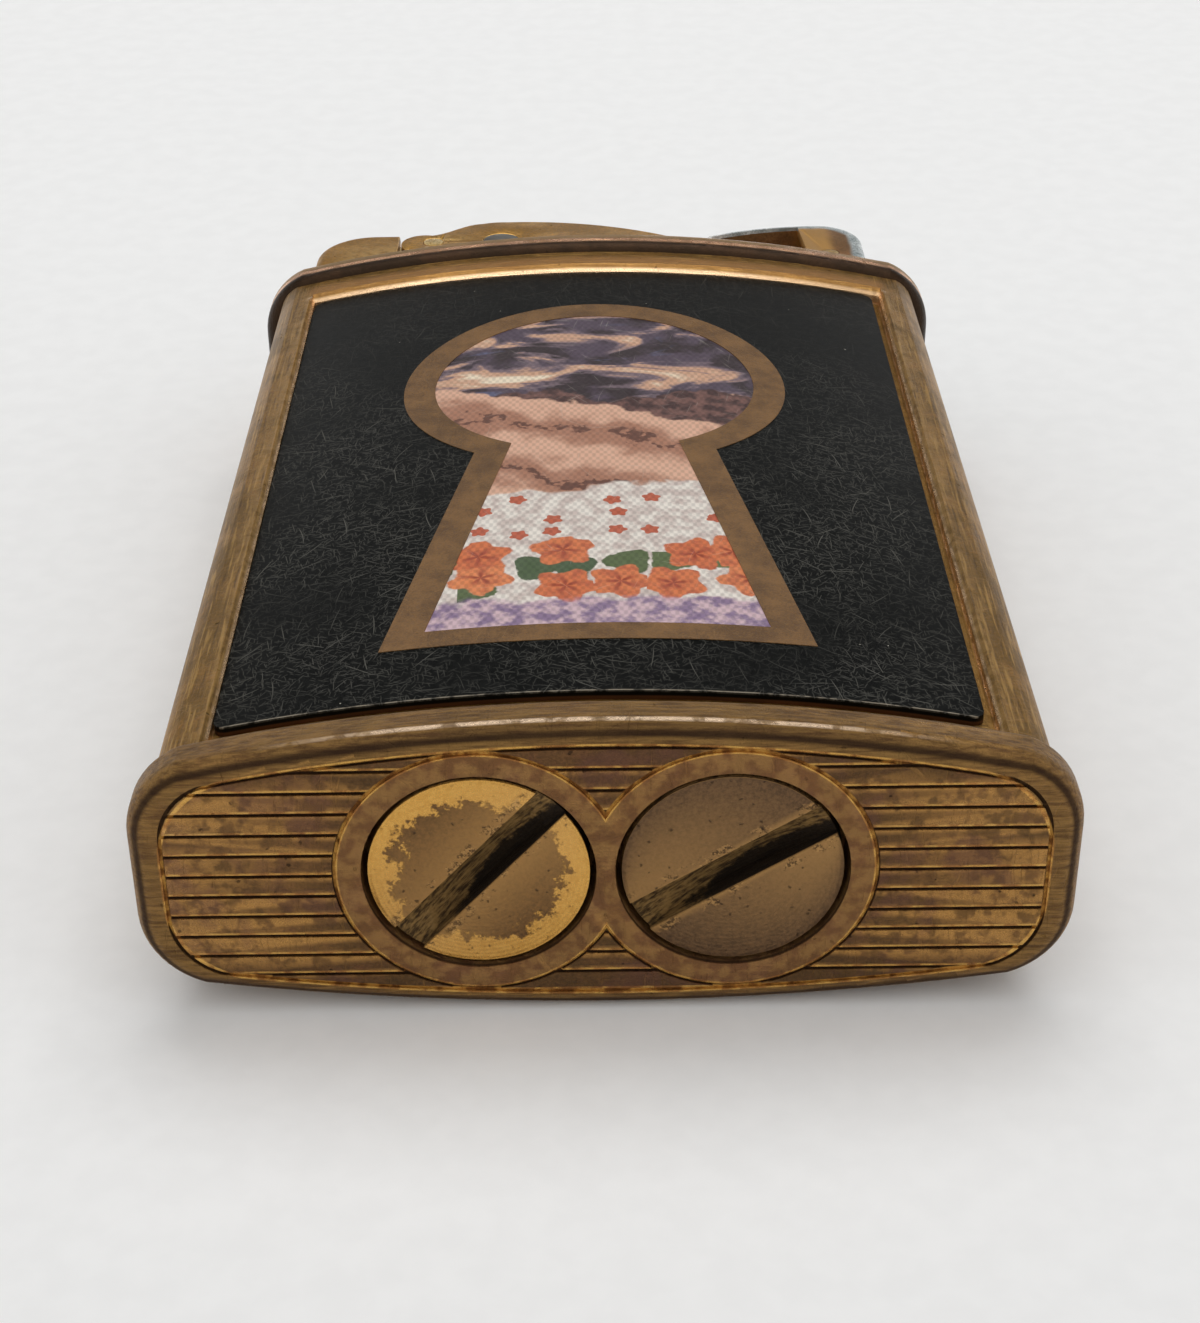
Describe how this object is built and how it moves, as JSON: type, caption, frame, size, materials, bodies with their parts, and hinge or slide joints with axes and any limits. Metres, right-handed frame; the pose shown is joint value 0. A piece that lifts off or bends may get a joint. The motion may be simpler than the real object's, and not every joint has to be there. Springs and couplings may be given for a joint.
{
  "type": "pocket lighter",
  "caption": "Pocket lighter with a thumb lever that turns a flint wheel and swings a snuffer cap off the wick; curved case with an enamelled keyhole panel.",
  "frame": {"origin": "centre of the footprint on the surface that the lighter lies on, on its back", "axes": "+X to the right seen from the front, +Y along the lighter from its base to its mechanism, +Z out of the enamelled front"},
  "size_m": [0.036, 0.0562, 0.0132],
  "materials": {
    "aged_brass": "worn satin with brown patina",
    "bright_brass": "satin",
    "black_enamel": "gloss with fine scratches",
    "brown_gilt": "dull brown gilt",
    "painted_picture": "satin paint",
    "worn_gilt_screw": "worn, with bright gilt remains",
    "brown_screw": "brown patina",
    "leather": "matte",
    "steel": "dull",
    "flint_alloy": "matte",
    "cotton": "fibrous",
    "cork": "matte"
  },
  "bodies": {
    "body": {"case_shell": "aged_brass", "base_plate": "aged_brass", "top_plate": "aged_brass", "front_panel": "black_enamel", "keyhole_border": "brown_gilt", "keyhole_picture": "painted_picture", "flint_bush": "bright_brass", "filler_bush": "bright_brass", "flint_tube": "bright_brass", "wick_tube": "bright_brass", "cotton_wadding": "cotton", "wick": "cotton", "flint": "flint_alloy", "front_side_plate": "aged_brass", "rear_side_plate": "aged_brass", "wheel_axle": "steel", "lever_bracket": "aged_brass", "bracket_rivet": "bright_brass", "snuffer_rivets": "bright_brass", "lever_pin": "bright_brass", "return_spring": "steel"},
    "thumb_lever": {"thumb_lever": "aged_brass", "press_arm": "steel"},
    "drive_lever": {"drive_lever": "steel", "pawl_pin": "steel", "pawl_spring": "steel"},
    "pawl": {"pawl": "steel"},
    "wheel": {"flint_wheel": "steel", "ratchet": "steel"},
    "snuffer": {"snuffer_cap": "aged_brass", "snuffer_arm": "bright_brass", "snuffer_pad": "cork"},
    "fuel_seal": {"fuel_washer": "leather"},
    "fuel_screw": {"fuel_screw": "brown_screw"},
    "flint_load": {"flint_washer": "leather", "flint_spring": "steel", "flint_follower": "bright_brass"},
    "flint_screw": {"flint_screw": "worn_gilt_screw"}
  },
  "joints": [
    {"name": "thumb_press", "type": "hinge", "parent": "body", "child": "thumb_lever", "pos_m": [0.0129, 0.0228, 0.0066], "axis": [0, 0, 1], "range_deg": [0, 15], "stiffness_Nm_per_rad": 0.02},
    {"name": "drive_turn", "type": "hinge", "parent": "body", "child": "drive_lever", "pos_m": [-0.0053, 0.02525, 0.0066], "axis": [0, 0, 1], "range_deg": [-24.9, 0], "deforming": ["return_spring"]},
    {"name": "wheel_turn", "type": "hinge", "parent": "body", "child": "wheel", "pos_m": [-0.0053, 0.02525, 0.0066], "axis": [0, 0, 1], "range_deg": [-24.9, 0]},
    {"name": "snuffer_turn", "type": "hinge", "parent": "body", "child": "snuffer", "pos_m": [-0.0091, 0.0251, 0.0066], "axis": [0, 0, 1], "range_deg": [-63, 0]},
    {"name": "pawl_lift", "type": "hinge", "parent": "drive_lever", "child": "pawl", "pos_m": [-0.0022, 0.02675, 0.0066], "axis": [0, 0, 1], "range_deg": [0, 14], "stiffness_Nm_per_rad": 0.00002, "deforming": ["pawl_spring"]},
    {"name": "fuel_screw_travel", "type": "slide", "parent": "body", "child": "fuel_seal", "axis": [0, -1, 0], "range_m": [0, 0.004]},
    {"name": "fuel_screw_turn", "type": "hinge", "parent": "fuel_seal", "child": "fuel_screw", "pos_m": [0.0048, -0.0281, 0.0066], "axis": [0, -1, 0], "range_deg": [0, 2880]},
    {"name": "flint_screw_travel", "type": "slide", "parent": "body", "child": "flint_load", "axis": [0, -1, 0], "range_m": [0, 0.004]},
    {"name": "flint_screw_turn", "type": "hinge", "parent": "flint_load", "child": "flint_screw", "pos_m": [-0.0048, -0.0281, 0.0066], "axis": [0, -1, 0], "range_deg": [0, 2880]}
  ],
  "couplings": [
    {"joint": "drive_turn", "follows": "thumb_press", "ratio": -1.66},
    {"joint": "wheel_turn", "follows": "thumb_press", "ratio": -1.66},
    {"joint": "snuffer_turn", "follows": "thumb_press", "ratio": -4.2},
    {"joint": "fuel_screw_turn", "follows": "fuel_screw_travel", "rad_per_m": 12566},
    {"joint": "flint_screw_turn", "follows": "flint_screw_travel", "rad_per_m": 12566}
  ]
}
